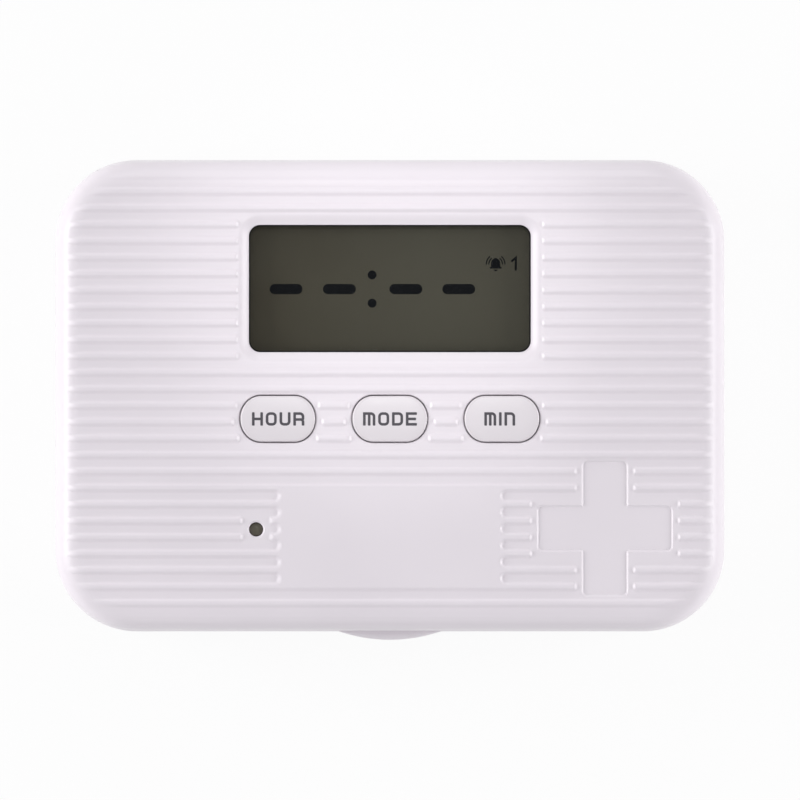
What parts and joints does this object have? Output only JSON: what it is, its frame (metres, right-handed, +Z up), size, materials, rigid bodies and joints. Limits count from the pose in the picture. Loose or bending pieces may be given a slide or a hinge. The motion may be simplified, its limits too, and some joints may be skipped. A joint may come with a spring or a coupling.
{
  "type": "pill box with timer",
  "caption": "Hinged plastic pill box with wells in its base and a battery clock with display and push buttons in its ribbed lid, which reminds its owner to take pills.",
  "frame": {"origin": "centre of the footprint's bounding box, thumb lip included, on the surface that the box stands on", "axes": "+Z up out of the closed lid, +Y towards the hinge at the rear, +X to the right as seen from the front"},
  "size_m": [0.12, 0.086, 0.0285],
  "materials": {
    "white_shell": "white moulded plastic, satin",
    "white_key": "white moulded plastic with printed dark grey legend, satin",
    "clear_pane": "clear acrylic, polished",
    "display_glass": "grey-green liquid crystal glass",
    "holder_plastic": "moulded",
    "contact_rubber": "layered conductive rubber",
    "board_green": "lacquered board",
    "black_resin": "moulded or poured resin",
    "steel": "bright steel",
    "nickel": "nickel plated",
    "switch_black": "moulded",
    "lamp_resin": "tinted resin, unlit",
    "cell_jacket": "printed film on a steel can, plain"
  },
  "bodies": {
    "base": {"base_shell": "white_shell", "hinge_pin_left": "steel", "hinge_pin_right": "steel"},
    "lid": {"lid_shell": "white_shell", "inner_cover": "white_shell", "display_window": "clear_pane", "display_glass": "display_glass", "display_holder": "holder_plastic", "contact_strip": "contact_rubber", "hour_switch": "switch_black", "mode_switch": "switch_black", "minute_switch": "switch_black", "circuit_board": "board_green", "timer_chip": "black_resin", "clock_crystal": "nickel", "buzzer": "black_resin", "indicator_lamp": "lamp_resin", "front_cell": "cell_jacket", "rear_cell": "cell_jacket", "negative_plate": "steel", "positive_plate": "steel", "bridge_plate": "steel", "negative_spring": "steel", "bridge_spring": "steel", "cover_screw_front_left": "nickel", "cover_screw_front_right": "nickel", "cover_screw_rear_left": "nickel", "cover_screw_rear_right": "nickel", "board_screw_left": "nickel", "board_screw_right": "nickel", "board_screw_front": "nickel"},
    "hour_key": {"hour_button": "white_key", "hour_plunger": "switch_black"},
    "mode_key": {"mode_button": "white_key", "mode_plunger": "switch_black"},
    "minute_key": {"minute_button": "white_key", "minute_plunger": "switch_black"},
    "battery_cover": {"battery_door": "white_shell"}
  },
  "joints": [
    {"name": "lid_hinge", "type": "hinge", "parent": "base", "child": "lid", "pos_m": [0, 0.04095, 0.01215], "axis": [-1, 0, 0], "range_deg": [0, 110]},
    {"name": "hour_press", "type": "slide", "parent": "lid", "child": "hour_key", "axis": [0, 0, -1], "range_m": [0, 0.0005], "stiffness_N_per_m": 400, "springref_m": -0.0005},
    {"name": "mode_press", "type": "slide", "parent": "lid", "child": "mode_key", "axis": [0, 0, -1], "range_m": [0, 0.0005], "stiffness_N_per_m": 400, "springref_m": -0.0005},
    {"name": "minute_press", "type": "slide", "parent": "lid", "child": "minute_key", "axis": [0, 0, -1], "range_m": [0, 0.0005], "stiffness_N_per_m": 400, "springref_m": -0.0005},
    {"name": "battery_door_slide", "type": "slide", "parent": "lid", "child": "battery_cover", "axis": [1, 0, 0], "range_m": [0, 0.004]}
  ]
}
